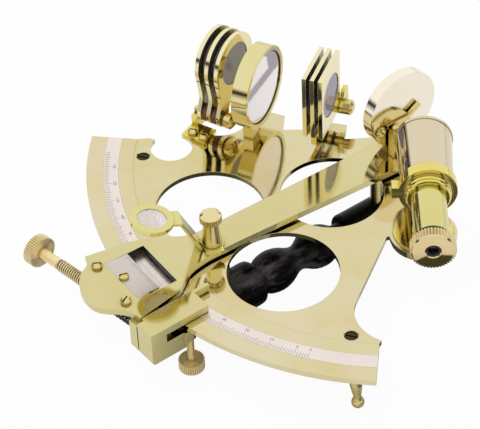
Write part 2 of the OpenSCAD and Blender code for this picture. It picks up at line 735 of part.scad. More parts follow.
module axle_washer() {
    color("#b99a45") translate([0, 0, socket_low + 3]) difference() {
        translate([0, 0, -1.2]) cylinder(d = axle_d + 3.4, h = 1.2);
        translate([-1.5, -0.4, -2]) cube([3, 0.8, 1.2]);
    }
}
module vernier_plate() {
    color("#e2dad2") on_arm() difference() {
        translate([0, 0, arm_top - vernier_t]) linear_extrude(vernier_t) vernier_outline();
        translate([vernier_u[0] - 1, -limb_r + vernier_v[1] + 13.4, arm_top - vernier_t - 1])
            rotate([-38, 0, 0]) translate([0, 0, 1.2]) cube([40, 4, 3]);
        at_uv(-3.1, 3.5) translate([0, 0, -vernier_t - 1]) cylinder(d = 2.6, h = 5);
    }
}
// Place on the arm's face: across the arm, and out from the arc's rim
module at_uv(u, dv) {
    translate([u, -limb_r - dv, arm_top]) children();
}
module arm_screw_places() {
    at_uv(-17.1, 10.3) children();
    at_uv(12.1, 11.9) children();
    at_uv(-3.1, 3.5) children();
}
module arm_screws() {
    color("#c9a84a") on_arm() {
        at_uv(-17.1, 10.3) round_screw(5.3, 2.7, 2.5, arm_t, 60);
        at_uv(12.1, 11.9) round_screw(5.3, 2.7, 2.5, arm_t, 115);
        at_uv(-3.1, 3.5) round_screw(5, 2.2, 2.5, arm_t, 75);
    }
}

// index mirror: local -X is the way the glass faces
module on_im() {
    rotate([0, 0, arm_a + 3.2]) children();
}
im_y = 6.5;
im_z = arm_top + im_d / 2 + 0.7;
im_back = -2.4;
im_screw = [4.4, 6.5];
module im_place() {
    rotate([0, 0, 3.2]) translate([im_screw[0], im_screw[1], arm_top]) children();
}
module index_mirror_cell() {
    color("#e0cf9a") on_im() translate([0, im_y, im_z]) difference() {
        xcyl(im_d, im_back - im_depth, im_back);
        xcyl(im_d - 3 + 2 * seat_gap, im_back - im_depth - 1, im_back - im_depth + mirror_t);
        translate([0, -16.5, -5]) xcyl(2.4, im_back - 2.5, im_back + 1);
    }
}
module index_mirror_glass() {
    color("#d8dadd") on_im() translate([0, im_y, im_z])
        xcyl(im_d - 3, im_back - im_depth, im_back - im_depth + mirror_t);
}
module index_mirror_bracket() {
    color("#cfae4e") on_im() difference() {
        union() {
            translate([im_back, -5.2, arm_top + 11.4]) rotate([0, 90, 0])
                intersection() {
                    cylinder(d = 31, h = 1.8);
                    translate([-(im_z - arm_top - 11.4), 11.7, 0])
                        cylinder(d = im_d - 0.6, h = 2);
                }
            translate([im_back, -3, arm_top]) cube([1.8, 14, 6]);
            translate([im_back, -3, arm_top]) cube([9.4, 14, 2]);
            translate([0.6, -5.6, arm_top + 2]) cube([4.2, 5.6, 15.4]);
            translate([0.6, -5.6, arm_top]) cube([4.2, 5.6, 2.1]);
            translate([2.7, -2.8, arm_top + 17.3]) cylinder(d = 4, h = 1.4);
            translate([2.7, -2.8, arm_top + 18.6]) cylinder(d1 = 4, d2 = 1.6, h = 1.2);
        }
        translate([0, im_y - 16.5, im_z - 5]) xcyl(2.4, im_back - 1, im_back + 3);
        im_hole();
    }
}
module im_hole() {
    translate([im_screw[0], im_screw[1], arm_top - 1]) cylinder(d = 2.6, h = 6);
}
module index_mirror_screw() {
    color("#c9a84a") on_im() {
        translate([im_back + 1.8, im_y - 16.5, im_z - 5]) rotate([0, 90, 0])
            round_screw(6, 2, 2.2, 3.6, 40);
        translate([im_screw[0], im_screw[1], arm_top + 2]) round_screw(4.6, 1.8, 2.5, 4, 20);
    }
}
module index_mirror_clip() {
    color("#cfae4e") on_im() translate([im_back + 1.8, 0, 0]) rotate([90, 0, 90])
        linear_extrude(1.2) polygon([[-6.5, arm_top + 19.4], [0, arm_top + 19.4],
            [8.2, arm_top + 19], [15.4, arm_top + 22.8], [16.4, arm_top + 22],
            [9, arm_top + 17.4], [0, arm_top + 17.2], [-6.5, arm_top + 17.2]]);
}

// tangent screw and clamp
module on_ts() {
    rotate([0, 0, ts_a]) translate([0, -limb_r - ts_r, face_z - ts_drop]) children();
}
ts_thin_d = ts_d - 1.6;
nut_s = [-52, -42];
bearing_x = [10.5, 16.6];
clamp_x = [18.2, 29.5];
bearing_y = [-limb_r - 16.5, -limb_r - 2];
module tangent_blocks() {
    color("#cdbb62") {
        difference() {
            on_ts() translate([nut_s[0], -5, -6])
                cube([nut_s[1] - nut_s[0], 10, arm_z - face_z + ts_drop + 6]);
            on_ts() xcyl(ts_d + 2 * run_fit, -90, 0);
        }
        difference() {
            rotate([0, 0, clamp_a]) translate([bearing_x[0], bearing_y[0], face_z - 15])
                cube([bearing_x[1] - bearing_x[0], bearing_y[1] - bearing_y[0],
                    arm_z - face_z + 15]);
            on_ts() xcyl(ts_thin_d + 2 * run_fit, -40, 40);
            rotate([0, 0, clamp_a]) translate([0, 0, face_z - 7])
                difference() {
                    cylinder(r = limb_r + 1, h = 7.6);
                    translate([0, 0, -1]) cylinder(r = limb_r - 20, h = 12);
                }
        }
    }
}
// Where the tangent screw's axis enters the bearing block
bearing_s = bearing_x[0] / cos(ts_a - clamp_a) - (limb_r + ts_r) * tan(ts_a - clamp_a);
spring_s = [nut_s[1] + 0.2, bearing_s - 0.45];
function coil(t, n, r) = [spring_s[0] + spring_wire / 2
    + (spring_s[1] - spring_s[0] - spring_wire) * t, r * cos(360 * n * t),
    r * sin(360 * n * t)];
module tangent_spring() {
    turns = 11;
    steps = turns * 14;
    r = ts_drop + arm_gap - spring_wire / 2 - 0.4;
    w = spring_wire / 2;
    pts = [for (i = [0:steps]) let (t = i / steps, c = coil(t, turns, r),
            a = 360 * turns * t)
        for (k = [0:7]) let (b = k * 45)
            [c[0] + w * sin(b), c[1] + w * cos(b) * cos(a), c[2] + w * cos(b) * sin(a)]];
    faces = concat([[for (k = [7:-1:0]) k]], [[for (k = [0:7]) steps * 8 + k]],
        [for (i = [0:steps - 1]) for (k = [0:7])
            [i * 8 + k, i * 8 + (k + 1) % 8, (i + 1) * 8 + (k + 1) % 8, (i + 1) * 8 + k]]);
    color("#1a1a1a") on_ts() polyhedron(pts, faces, convexity = 8);
}
ts_knob_s = -92;
module tangent_screw() {
    color("#c9a84a") on_ts() union() {
        translate([ts_knob_s, 0, 0]) rotate([0, 90, 0]) knurled(ts_knob_d, ts_knob_w, 42);
        xcyl(ts_d, ts_knob_s + ts_knob_w - 0.1, nut_s[1] + 1);
        xcyl(ts_thin_d, nut_s[1], 1);
    }
}
module clamp_block() {
    jaw_z = face_z + slide_gap;
    low_z = face_z - 15;
    slot_z = back_z - 1.8;
    x0 = clamp_x[0];
    dx = clamp_x[1] - clamp_x[0];
    color("#d6c574") rotate([0, 0, clamp_a]) difference() {
        union() {
            translate([x0, -limb_r - 17, low_z]) cube([dx, 20.2, arm_top - low_z]);
            translate([x0, -limb_r - 17, jaw_z]) cube([dx, 34, arm_top - jaw_z]);
            translate([x0 - 1.7, -limb_r - 13, arm_z + slide_gap])
                cube([1.8, 39, arm_t - slide_gap]);
            translate([cs_x - 3.2, -limb_r + 2, low_z + 3]) cube([6.4, 4.8, slot_z - low_z - 3]);
            translate([cs_x, -limb_r + 6.7, low_z + 3]) cylinder(d = 6.4, h = slot_z - low_z - 3);
        }
        translate([x0 - 3, -limb_r - 8, slot_z]) cube([dx + 8, 60, jaw_z - slot_z]);
        translate([cs_x, -limb_r + 6.7, low_z - 1]) cylinder(d = cs_d + 2 * run_fit, h = 13);
        rotate([0, 0, ts_a - clamp_a]) translate([0, -limb_r - ts_r, face_z - ts_drop])
            xcyl(ts_thin_d + 0.6, -20, 1.6);
        translate([x0 - 1, -limb_r - 17, low_z]) rotate([45, 0, 0])
            translate([0, -0.8, -0.8]) cube([dx + 2, 1.6, 1.6]);
    }
}
cs_x = 27;
module clamp_screw() {
    color("#c9a84a") rotate([0, 0, clamp_a]) translate([cs_x, -limb_r + 6.7, 0]) union() {
        translate([0, 0, face_z - cs_drop]) knurled(cs_head_d, 5.5, 36);
        translate([0, 0, face_z - cs_drop + 5]) cylinder(d = cs_d, h = cs_drop - 5 - limb_t - 1.8);
    }
}
module clamp_shoe() {
    color("#b99a45") rotate([0, 0, clamp_a])
        translate([cs_x, -limb_r + 6.7, back_z - slide_gap - 1.2]) cylinder(d = 5.4, h = 1.2);
}

// magnifier
thumb_shank_d = 4;
thumb_collar_d = 10;
thumb_u = 2.9;
thumb_dv = -44.2;
mag_foot_t = 1.2;
leaf_gap = 0.1;
module at_thumb() {
    translate([thumb_u, -limb_r - thumb_dv, arm_top]) children();
}
mag_a = -20.3;
mag_ring = [5.65, -30];
mag_tilt = -9;
// The magnifier's own frame: its leaf runs along -Y from the thumbscrew
module on_magnifier() {
    on_arm() at_thumb() translate([0, 0, leaf_gap]) rotate([0, 0, mag_a]) children();
}
module at_mag_ring() {
    translate([mag_ring[0], mag_ring[1], face_z + mag_h - arm_top])
        rotate([mag_tilt, 0, 0]) children();
}
module magnifier_arm() {
    lift = face_z + mag_h - arm_top;
    color("#cdbb62") on_magnifier() difference() {
        union() {
            cylinder(d = 12, h = mag_foot_t);
            translate([-2, -4.5, 0]) cube([9.6, 9, mag_foot_t]);
            hull() {
                translate([-6.2, -thumb_collar_d / 2 - slide_gap - 1.2, 0.1])
                    cube([9.6, 1.2, 1]);
                translate([mag_ring[0] - 4.7, mag_ring[1] + 12.6, lift - 0.8 - 2])
                    cube([9.4, 1.2, 1.2]);
            }
            at_mag_ring() translate([0, 0, -1.2]) union() {
                cylinder(d = mag_d, h = 2.4);
                translate([-5, 4, 0.4]) cube([10, 10.2, 1.3]);
            }
        }
        translate([0, 0, -1]) cylinder(d = thumb_shank_d + 2 * run_fit, h = 5);
        at_mag_ring() translate([0, 0, -3]) cylinder(d = mag_lens_d, h = 6);
    }
}
module magnifier_lens() {
    color("#dfe6ea") on_magnifier() at_mag_ring() translate([0, 0, -0.8])
        cylinder(d = mag_lens_d - 2 * seat_gap, h = 1.6);
}
module magnifier_thumbscrew() {
    color("#d9bf5e") on_arm() at_thumb() union() {
        translate([0, 0, mag_foot_t + 2 * leaf_gap]) cylinder(d = thumb_collar_d, h = 1.4);
        translate([0, 0, mag_foot_t + 1.6])
            cylinder(d1 = thumb_collar_d - 0.3, d2 = 7.3, h = thumb_h - 7.6);
        translate([0, 0, thumb_h - 6]) cylinder(d1 = 7.3, d2 = 9, h = 1.4);
        translate([0, 0, thumb_h - 4.7]) knurled(thumb_d, 3.4, 30);
        translate([0, 0, thumb_h - 1.3]) cylinder(d1 = thumb_d - 0.4, d2 = thumb_d - 3.6, h = 1.3);
        translate([0, 0, -arm_t + 0.3]) cylinder(d = thumb_shank_d, h = arm_t + mag_foot_t + 0.5);
    }
}

frame_plate();
arc_scale();
outer_feet();
foot_screws();
pivot_socket();
pivot_foot();
handle_grip();
handle_posts();
horizon_mirror_cell();
horizon_mirror_glass();
horizon_mirror_foot();
horizon_mirror_screws();
horizon_shade_bracket();
horizon_shade_pin();
index_shade_bracket();
index_shade_pin();
index_shade_spring();
bracket_screws();
shade_washers();
horizon_shade_1();
horizon_shade_2();
horizon_shade_3();
horizon_glass_1();
horizon_glass_2();
horizon_glass_3();
index_shade_1();
index_shade_2();
index_shade_3();
index_glass_1();
index_glass_2();
index_glass_3();
telescope_socket();
telescope_ring();
telescope_barrel();
objective_lens();
ring_screw();
telescope_nut();
draw_tube();
eyepiece_cap();
eye_lens();
index_arm();
pivot_axle();
axle_washer();
vernier_plate();
arm_screws();
index_mirror_cell();
index_mirror_glass();
index_mirror_bracket();
index_mirror_screw();
index_mirror_clip();
tangent_blocks();
tangent_spring();
tangent_screw();
clamp_block();
clamp_screw();
clamp_shoe();
magnifier_arm();
magnifier_lens();
magnifier_thumbscrew();
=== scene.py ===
# %% [markdown]
# # A brass sextant
# A sextant measures the angle between two far things, such as the sun and the
# horizon. Here the solid construction is loaded first and never altered. What
# this lesson adds is what the eye sees: polished metal, silvered scales, glass,
# ebonised wood, engraved marks, screw threads and the light that shows them.

# %% Load the construction
import json
import math

import bmesh
import bpy
from mathutils import Matrix, Vector


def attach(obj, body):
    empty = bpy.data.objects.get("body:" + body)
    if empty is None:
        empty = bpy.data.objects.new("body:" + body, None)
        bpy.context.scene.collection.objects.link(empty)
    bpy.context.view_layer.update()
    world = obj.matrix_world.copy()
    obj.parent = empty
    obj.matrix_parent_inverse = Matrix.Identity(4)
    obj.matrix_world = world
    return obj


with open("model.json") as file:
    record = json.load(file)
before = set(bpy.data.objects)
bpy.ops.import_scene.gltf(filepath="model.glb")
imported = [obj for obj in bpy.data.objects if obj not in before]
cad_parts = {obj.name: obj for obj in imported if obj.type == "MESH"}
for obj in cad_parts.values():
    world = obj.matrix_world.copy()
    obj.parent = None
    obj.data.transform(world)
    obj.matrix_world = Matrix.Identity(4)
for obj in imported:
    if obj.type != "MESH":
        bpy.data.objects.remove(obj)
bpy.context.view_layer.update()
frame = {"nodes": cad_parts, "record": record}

nodes = frame["nodes"]
MM = 0.001

# %% [markdown]
# ## The camera
# The photograph was taken with a long lens from the front right, looking down
# at about 42 degrees. A camera could be moved by hand until the picture fits.
# Instead its place was found by fitting a pinhole camera to round things of
# known shape (the openings, the scale, the mirror rims), because that also
# gives the proportions. It stands here as three directions and a place, in
# metres.

# %% Camera
CAMERA_AT = (0.65339, -0.56736, 0.79567)
VIEW_RIGHT = Vector((0.60808, 0.79300, -0.03734))
VIEW_DOWN = Vector((0.51647, -0.43088, -0.74001))
VIEW_AHEAD = Vector((-0.60291, 0.43070, -0.67156))
FOCAL_LENGTH = 165.4
SENSOR_WIDTH = 36.0
FARTHEST_SEEN = 50.0

camera = bpy.data.objects.new("camera", bpy.data.cameras.new("camera"))
bpy.context.scene.collection.objects.link(camera)
turn = Matrix((VIEW_RIGHT, -VIEW_DOWN, -VIEW_AHEAD)).transposed().to_4x4()
camera.matrix_world = Matrix.Translation(CAMERA_AT) @ turn
camera.data.lens = FOCAL_LENGTH
camera.data.sensor_width = SENSOR_WIDTH
camera.data.sensor_fit = "HORIZONTAL"
camera.data.clip_end = FARTHEST_SEEN
bpy.context.scene.camera = camera
bpy.context.scene.view_settings.view_transform = "Standard"
print("camera distance:", round(camera.location.length, 3))

# %% [markdown]
# ## Where things are
# The construction's own frame has its origin under the pivot, with the arc
# towards -Y. Marks and threads could be drawn there with long sums. They are
# easier to draw in the frame of the piece that carries them, so each gets a
# matrix: the index arm (turned a little clockwise), the tangent screw and the
# telescope, whose X axis runs from its eyepiece to its front.

# %% Frames of the moving pieces
FACE_Z = 50 * MM
ARM_TOP_Z = 54.5 * MM
ARM_TURN = math.radians(-3.2)
TANGENT_TURN = math.radians(8.4)
TANGENT_R = 168.3 * MM
TANGENT_Z = 45 * MM
LOBE = Vector((52.2, -26.7, 0)) * MM
TELESCOPE_TURN = math.radians(142.3)
TELESCOPE_SIDE = -1.7 * MM
OPTIC_Z = 78.5 * MM


def spin(angle):
    return Matrix.Rotation(angle, 4, "Z")


def shift(x, y, z):
    return Matrix.Translation((x, y, z))


ON_ARM = spin(ARM_TURN)
ON_TANGENT = spin(TANGENT_TURN) @ shift(0, -TANGENT_R, TANGENT_Z)
ON_TELESCOPE = shift(*LOBE) @ spin(TELESCOPE_TURN) @ shift(0, TELESCOPE_SIDE, OPTIC_Z)
print("tangent screw at:", [round(v, 4) for v in ON_TANGENT.translation])
print("telescope at:", [round(v, 4) for v in ON_TELESCOPE.translation])

# %% [markdown]
# ## Node materials
# Every finish here is a small tree of nodes. It could be wired by hand in the
# shader editor, but a kit keeps it short: a node is added with its settings,
# and a socket takes either a plain value or another node's output. Every finish
# reads Object coordinates, which stay with the piece when it moves, so that a
# scratch never slides over the metal.

# %% A kit for finishes
MIX_FACTOR, MIX_FIRST, MIX_SECOND = 0, 6, 7
MIX_RESULT = 2
EDGE_SAMPLES = 6
EVEN = (1, 1, 1)


def rgb(r, g, b):
    return (r, g, b, 1.0)


def feed(tree, socket, value):
    """Link the socket to another node's output, or type a plain value into it."""
    if isinstance(value, bpy.types.NodeSocket):
        tree.links.new(value, socket)
    else:
        socket.default_value = value


class Finish:
    def __init__(self, name):
        self.material = bpy.data.materials.new(name)
        self.material.use_nodes = True
        self.tree = self.material.node_tree
        self.shader = self.tree.nodes["Principled BSDF"]
        self.coords = self.tree.nodes.new("ShaderNodeTexCoord").outputs["Object"]
        print("finish:", name)

    def node(self, kind, inputs=None, **settings):
        made = self.tree.nodes.new(kind)
        for key, value in settings.items():
            setattr(made, key, value)
        for key, value in (inputs or {}).items():
            feed(self.tree, made.inputs[key], value)
        return made

    def noise(self, scale, detail, stretch=EVEN, rough=0.55):
        moved = self.node("ShaderNodeMapping", {"Vector": self.coords, "Scale": stretch})
        return self.node("ShaderNodeTexNoise", {
            "Vector": moved.outputs["Vector"], "Scale": scale, "Detail": detail,
            "Roughness": rough}).outputs["Fac"]

    def spread(self, value, low, high, start=0.3, end=0.7):
        """Low where the value is at its start, high where it is at its end."""
        return self.node("ShaderNodeMapRange", {
            "Value": value, "From Min": start, "From Max": end, "To Min": low,
            "To Max": high}).outputs["Result"]

    def blend(self, factor, first, second):
        mixed = self.node("ShaderNodeMix", data_type="RGBA", blend_type="MIX")
        feed(self.tree, mixed.inputs[MIX_FACTOR], factor)
        feed(self.tree, mixed.inputs[MIX_FIRST], first)
        feed(self.tree, mixed.inputs[MIX_SECOND], second)
        return mixed.outputs[MIX_RESULT]

    def relief(self, height, strength, distance=0.05 * MM, edge=0.0):
        inputs = {"Height": height, "Strength": strength, "Distance": distance}
        if edge:
            inputs["Normal"] = self.node(
                "ShaderNodeBevel", {"Radius": edge}, samples=EDGE_SAMPLES).outputs["Normal"]
        return self.node("ShaderNodeBump", inputs).outputs["Normal"]

    def join(self, value, socket):
        self.tree.links.new(value, self.shader.inputs[socket])

    def set(self, **values):
        for key, value in values.items():
            self.shader.inputs[key.replace("_", " ")].default_value = value


print("a finish can:", [step for step in vars(Finish) if not step.startswith("_")])

# %% [markdown]
# ## Polished brass
# Brass is copper and zinc: a metal, so its colour is the colour of what it
# mirrors. One flat gold would look like plastic. Three things keep it from
# that: a slow drift of tint where lacquer and handling have aged it, painted
# shade that darkens the gold down in corners and gaps, and hair-fine
# scratches. The Bevel node gives a soft edge without more faces, because real
# edges are broken with a file.

# %% Brass
CORNER_SAMPLES = 6
BROKEN_EDGE = 0.25 * MM


def brass(name, colour, deep, rough, grain=EVEN, nook=3.0, nook_dark=0.6, clouds=0.22):
    """Tint drifts from colour to deep in clouds; nooks under nook millimetres wide get painted shade."""
    finish = Finish(name)
    drift = finish.spread(finish.noise(scale=22, detail=4), low=0.0, high=clouds)
    tinted = finish.blend(drift, rgb(*colour), rgb(*deep))
    # Painted shade: an Ambient Occlusion mask darkens the gold in corners and gaps towards deep times
    # nook_dark.
    corner = finish.node("ShaderNodeAmbientOcclusion", {"Distance": nook * MM}, samples=CORNER_SAMPLES)
    nook_shade_mask = finish.spread(corner.outputs["AO"], low=0.95, high=0.0, start=0.3, end=0.92)
    painted_nook_shade = rgb(*[c * nook_dark for c in deep])
    finish.join(finish.blend(nook_shade_mask, tinted, painted_nook_shade), "Base Color")
    smear = finish.noise(scale=180, detail=5)
    finish.join(finish.spread(smear, low=rough * 0.7, high=rough * 1.6), "Roughness")
    hairline = finish.noise(scale=900, detail=2, stretch=grain)
    finish.join(finish.relief(hairline, strength=0.05, edge=BROKEN_EDGE), "Normal")
    finish.set(Metallic=1.0)
    return finish.material


# %% [markdown]
# ## The instrument's brasses
# No two castings or tubes have quite the same alloy, lacquer or polish. One
# brass for all would be quicker, but the photograph shows pale cells beside
# golden brackets and dull knurled knobs. So each kind of piece has two tints
# and a roughness of its own. Grain stretches the hairlines along a plate.

# %% Brasses
frame_brass = brass("frame_brass", (0.75, 0.67, 0.46), (0.67, 0.57, 0.24), rough=0.06,
                    grain=(1, 6, 1), clouds=0.75)
arm_brass = brass("arm_brass", (0.70, 0.63, 0.34), (0.62, 0.53, 0.19), rough=0.07,
                  grain=(6, 1, 1), nook=4.0, nook_dark=0.5, clouds=0.5)
polished_brass = brass("polished_brass", (0.80, 0.69, 0.22), (0.70, 0.56, 0.05), rough=0.05)
pale_brass = brass("pale_brass", (0.95, 0.87, 0.73), (0.86, 0.75, 0.50), rough=0.06)
barrel_brass = brass("barrel_brass", (0.73, 0.635, 0.46), (0.62, 0.50, 0.25), rough=0.06)
cap_brass = brass("cap_brass", (0.79, 0.64, 0.36), (0.66, 0.50, 0.20), rough=0.03)
rim_brass = brass("rim_brass", (0.78, 0.70, 0.36), (0.68, 0.56, 0.14), rough=0.06)
knob_brass = brass("knob_brass", (0.98, 0.83, 0.50), (0.86, 0.68, 0.28), rough=0.48,
                   nook=2.0, nook_dark=0.3)
gold_brass = brass("gold_brass", (0.76, 0.62, 0.27), (0.60, 0.45, 0.08), rough=0.15,
                   nook=2.0, nook_dark=0.25)
# Nearly black painted shade in nooks under 6 mm, such as the gaps between the shade blades.
shade_brass = brass("shade_brass", (0.88, 0.81, 0.54), (0.76, 0.62, 0.14), rough=0.06,
                    nook=6.0, nook_dark=0.08)
leaf_brass = brass("leaf_brass", (0.76, 0.70, 0.32), (0.62, 0.53, 0.08), rough=0.08)
thumb_brass = brass("thumb_brass", (0.82, 0.71, 0.40), (0.66, 0.50, 0.10), rough=0.07,
                    nook=2.0, nook_dark=0.3)
# Painted shade: near-black brass for the foot screws sunk in their holes and the tangent thread's root.
painted_shade_brass = brass("painted_shade_brass", (0.06, 0.05, 0.025), (0.03, 0.022, 0.01), rough=0.2)
foot_brass = brass("foot_brass", (0.97, 0.84, 0.38), (0.85, 0.68, 0.14), rough=0.24, nook=1.0)
tube_brass = brass("tube_brass", (0.72, 0.67, 0.28), (0.58, 0.48, 0.12), rough=0.06)

# %% [markdown]
# ## Silvered scale
# The arc is engraved in a band of silvered metal, which is easier to read than
# brass. It is grained along the arc, so its fine lines are circles about the
# pivot. A Wave texture could draw them, but too evenly: here a noise reads the
# distance from the pivot and nothing else.

# %% Silver
LEVEL = (1, 1, 0)


def silvered(name, colour):
    finish = Finish(name)
    flat = finish.node("ShaderNodeVectorMath", {0: finish.coords, 1: LEVEL}, operation="MULTIPLY")
    reach = finish.node("ShaderNodeVectorMath", {0: flat.outputs["Vector"]}, operation="LENGTH")
    lines = finish.node("ShaderNodeTexNoise", {
        "W": reach.outputs["Value"], "Scale": 9000, "Detail": 2}, noise_dimensions="1D").outputs["Fac"]
    cloud = finish.spread(finish.noise(scale=60, detail=4), low=0.0, high=0.5)
    darker = rgb(*[c * 0.9 for c in colour])
    finish.join(finish.blend(cloud, rgb(*colour), darker), "Base Color")
    finish.join(finish.spread(lines, low=0.2, high=0.36), "Roughness")
    finish.join(finish.relief(lines, strength=0.12), "Normal")
    finish.set(Metallic=1.0)
    return finish.material


silver_scale = silvered("silver_scale", (0.87, 0.775, 0.71))
vernier_silver = silvered("vernier_silver", (0.66, 0.60, 0.56))

# %% [markdown]
# ## Ebonised wood
# The handle is a dark close-grained wood, stained nearly black and polished. A
# plain black would look like plastic, so a noise squeezed along the grain
# changes its gloss and lets paler patches through, both grain and painted
# sheen, and finer pores lift its surface.

# %% Wood
def ebonised(name):
    finish = Finish(name)
    grain = finish.noise(scale=60, detail=6, stretch=(1, 0.3, 1), rough=0.7)
    pores = finish.noise(scale=900, detail=3, stretch=(1, 0.05, 1))
    # Grain and painted sheen: pale purple-grey patches where the grain noise is high.
    grain_and_painted_sheen = finish.spread(grain, low=0.0, high=1.0, start=0.54, end=0.72)
    finish.join(finish.blend(grain_and_painted_sheen, rgb(0.001, 0.0007, 0.001), rgb(0.11, 0.095, 0.10)), "Base Color")
    finish.join(finish.spread(grain, low=0.22, high=0.4), "Roughness")
    finish.join(finish.relief(pores, strength=0.25, distance=0.08 * MM), "Normal")
    finish.set(Specular_IOR_Level=0.1)
    return finish.material


dark_wood = ebonised("dark_wood")

# %% [markdown]
# ## Washers, wire and black
# Fibre washers are brown and dull, the tangent spring is blackened steel wire,
# and engraved lines are filled with black wax. All of them are dull and
# mottled, so one recipe with two colours serves them, at a scale of its own.

# %% Dull finishes
def dull(name, colour, second, rough, scale):
    finish = Finish(name)
    mottle = finish.spread(finish.noise(scale=scale, detail=5), low=0.0, high=1.0)
    finish.join(finish.blend(mottle, rgb(*colour), rgb(*second)), "Base Color")
    worn = finish.noise(scale=scale * 3, detail=2)
    finish.join(finish.spread(worn, low=rough * 0.8, high=rough * 1.2), "Roughness")
    pitted = finish.noise(scale=scale * 6, detail=3)
    finish.join(finish.relief(pitted, strength=0.2), "Normal")
    return finish.material


brown_washer = dull("brown_washer", (0.20, 0.075, 0.03), (0.10, 0.035, 0.02), rough=0.3, scale=400)
spring_steel = dull("spring_steel", (0.012, 0.012, 0.013), (0.03, 0.03, 0.032), rough=0.28, scale=500)
# Real blackening for the telescope's stops, and painted shade on the window walls, eye hole, draw tube ring
# and mirror rim.
black_and_painted_shade = dull("black_and_painted_shade", (0.008, 0.008, 0.008), (0.016, 0.015, 0.015), rough=0.5, scale=600)
engraved_black = dull("engraved_black", (0.12, 0.11, 0.11), (0.20, 0.19, 0.18), rough=0.6, scale=900)

# %% [markdown]
# ## Mirrors
# A glass mirror is silvered on its back. Glass over metal would show it truly
# but takes many light paths, so a smooth metal with almost no colour stands for
# both. A faint bloom keeps it from being perfect.

# %% Mirror
def mirror(name, colour):
    finish = Finish(name)
    bloom = finish.spread(finish.noise(scale=45, detail=5), low=0.0, high=0.35, start=0.45, end=0.8)
    finish.join(finish.blend(bloom, rgb(*colour), rgb(*[c * 0.88 for c in colour])), "Base Color")
    finish.join(finish.spread(finish.noise(scale=300, detail=2), low=0.015, high=0.05), "Roughness")
    finish.set(Metallic=1.0)
    return finish.material


mirror_glass = mirror("mirror_glass", (0.90, 0.84, 0.84))

# %% [markdown]
# ## Shade glasses and lenses
# Shade glasses are tinted all through, to dim the sun. Full transmission would
# show little but what lies behind, and the photograph shows a soft, even tint,
# so only a share of their light passes. Lenses are clear, except the
# magnifier's, whose whitish colour is a painted reflection.

# %% Glass
def glass(name, colour, clearness, rough, warm=(0.85, 0.85, 0.85)):
    """Tinted glass that drifts towards a second tint, given as shares of the first."""
    finish = Finish(name)
    wash = finish.spread(finish.noise(scale=35, detail=1), low=0.0, high=0.6)
    second = [c * w for c, w in zip(colour, warm)]
    finish.join(finish.blend(wash, rgb(*colour), rgb(*second)), "Base Color")
    smear = finish.noise(scale=220, detail=2)
    finish.join(finish.spread(smear, low=rough * 0.6, high=rough * 1.6), "Roughness")
    finish.set(Transmission_Weight=clearness, IOR=1.5)
    return finish.material


horizon_shade_glass = glass("horizon_shade_glass", (0.42, 0.45, 0.60), clearness=0.12, rough=0.02,
                            warm=(1.4, 0.95, 0.85))
index_shade_glass = glass("index_shade_glass", (0.39, 0.36, 0.49), clearness=0.12, rough=0.02,
                          warm=(0.85, 0.85, 0.9))
clear_glass = glass("clear_glass", (0.97, 0.95, 0.95), clearness=1.0, rough=0.01)
# Painted reflection: the magnifier lens's whitish colour stands for what it mirrors.
reading_glass_painted_sheen = glass("reading_glass_painted_sheen", (0.93, 0.87, 0.84), clearness=0.45, rough=0.01)

# %% [markdown]
# ## Dressing the construction
# Each node of the construction carries a material slot in its record. Materials
# could be set one node at a time, but one table turns slots into finishes, and
# the shape of every node stays as it is.

# %% Finishes by slot
FINISHES = {
    "frame_brass": frame_brass, "arm_brass": arm_brass, "polished_brass": polished_brass,
    "gold_brass": gold_brass, "shade_brass": shade_brass, "silver_scale": silver_scale,
    "dark_wood": dark_wood, "brown_washer": brown_washer, "spring_steel": spring_steel,
    "mirror_glass": mirror_glass, "horizon_shade_glass": horizon_shade_glass,
    "index_shade_glass": index_shade_glass, "clear_glass": clear_glass,
}
for part in frame["record"]["subparts"]:
    dressed = nodes[part["node"]]
    dressed.data.materials.clear()
    dressed.data.materials.append(FINISHES[part["material_slot"]])
print("slots dressed:", len(FINISHES))

# %% [markdown]
# ## Pieces with a finish of their own
# Some pieces are paler, duller, darker or greener than the rest of their slot.
# More slots would say so in the record too, but these are only shades of the
# same stuff, so a second table changes the finish and leaves the slot.

# %% Finishes by piece
OWN_FINISHES = {
    "index_mirror_cell": pale_brass, "telescope_barrel": barrel_brass, "magnifier_arm": leaf_brass,
    "draw_tube": tube_brass, "magnifier_lens": reading_glass_painted_sheen, "eyepiece_cap": cap_brass,
    "index_mirror_clip": gold_brass, "telescope_ring": polished_brass,
    "horizon_mirror_cell": rim_brass, "magnifier_thumbscrew": thumb_brass, "foot_screws": painted_shade_brass,
    "tangent_screw": knob_brass, "clamp_screw": knob_brass, "vernier_plate": vernier_silver,
    "outer_feet": foot_brass,
}
for name, material in OWN_FINISHES.items():
    nodes[name].data.materials[0] = material
print("pieces with their own finish:", len(OWN_FINISHES))

# %% [markdown]
# ## New pieces
# Marks, threads and linings are too fine for the construction and are added
# here. They could be modelled by hand in Edit Mode. Built as meshes in code,
# they keep exact measures and can be changed later. Each then rides on the body
# that carries it, so it moves when that does, and names its slot.

# %% A new piece
def piece(name, mesh_builder, material, body, smooth=False):
    bm = bmesh.new()
    mesh_builder(bm)
    bmesh.ops.recalc_face_normals(bm, faces=bm.faces)
    mesh = bpy.data.meshes.new(name)
    bm.to_mesh(mesh)
    bm.free()
    for polygon in mesh.polygons:
        polygon.use_smooth = smooth
    mesh.materials.append(material)
    made = bpy.data.objects.new(name, mesh)
    bpy.context.scene.collection.objects.link(made)
    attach(made, body)
    print(name, "faces:", len(mesh.polygons))


# %% [markdown]
# ## The graduated arc
# Ten units of the scale take a little over five degrees of arc, because a
# sextant's mirrors double every angle. Each unit has a short line, each fifth a
# longer one and each tenth the longest. They could be painted in a picture, but
# thin raised boxes stay sharp up close.

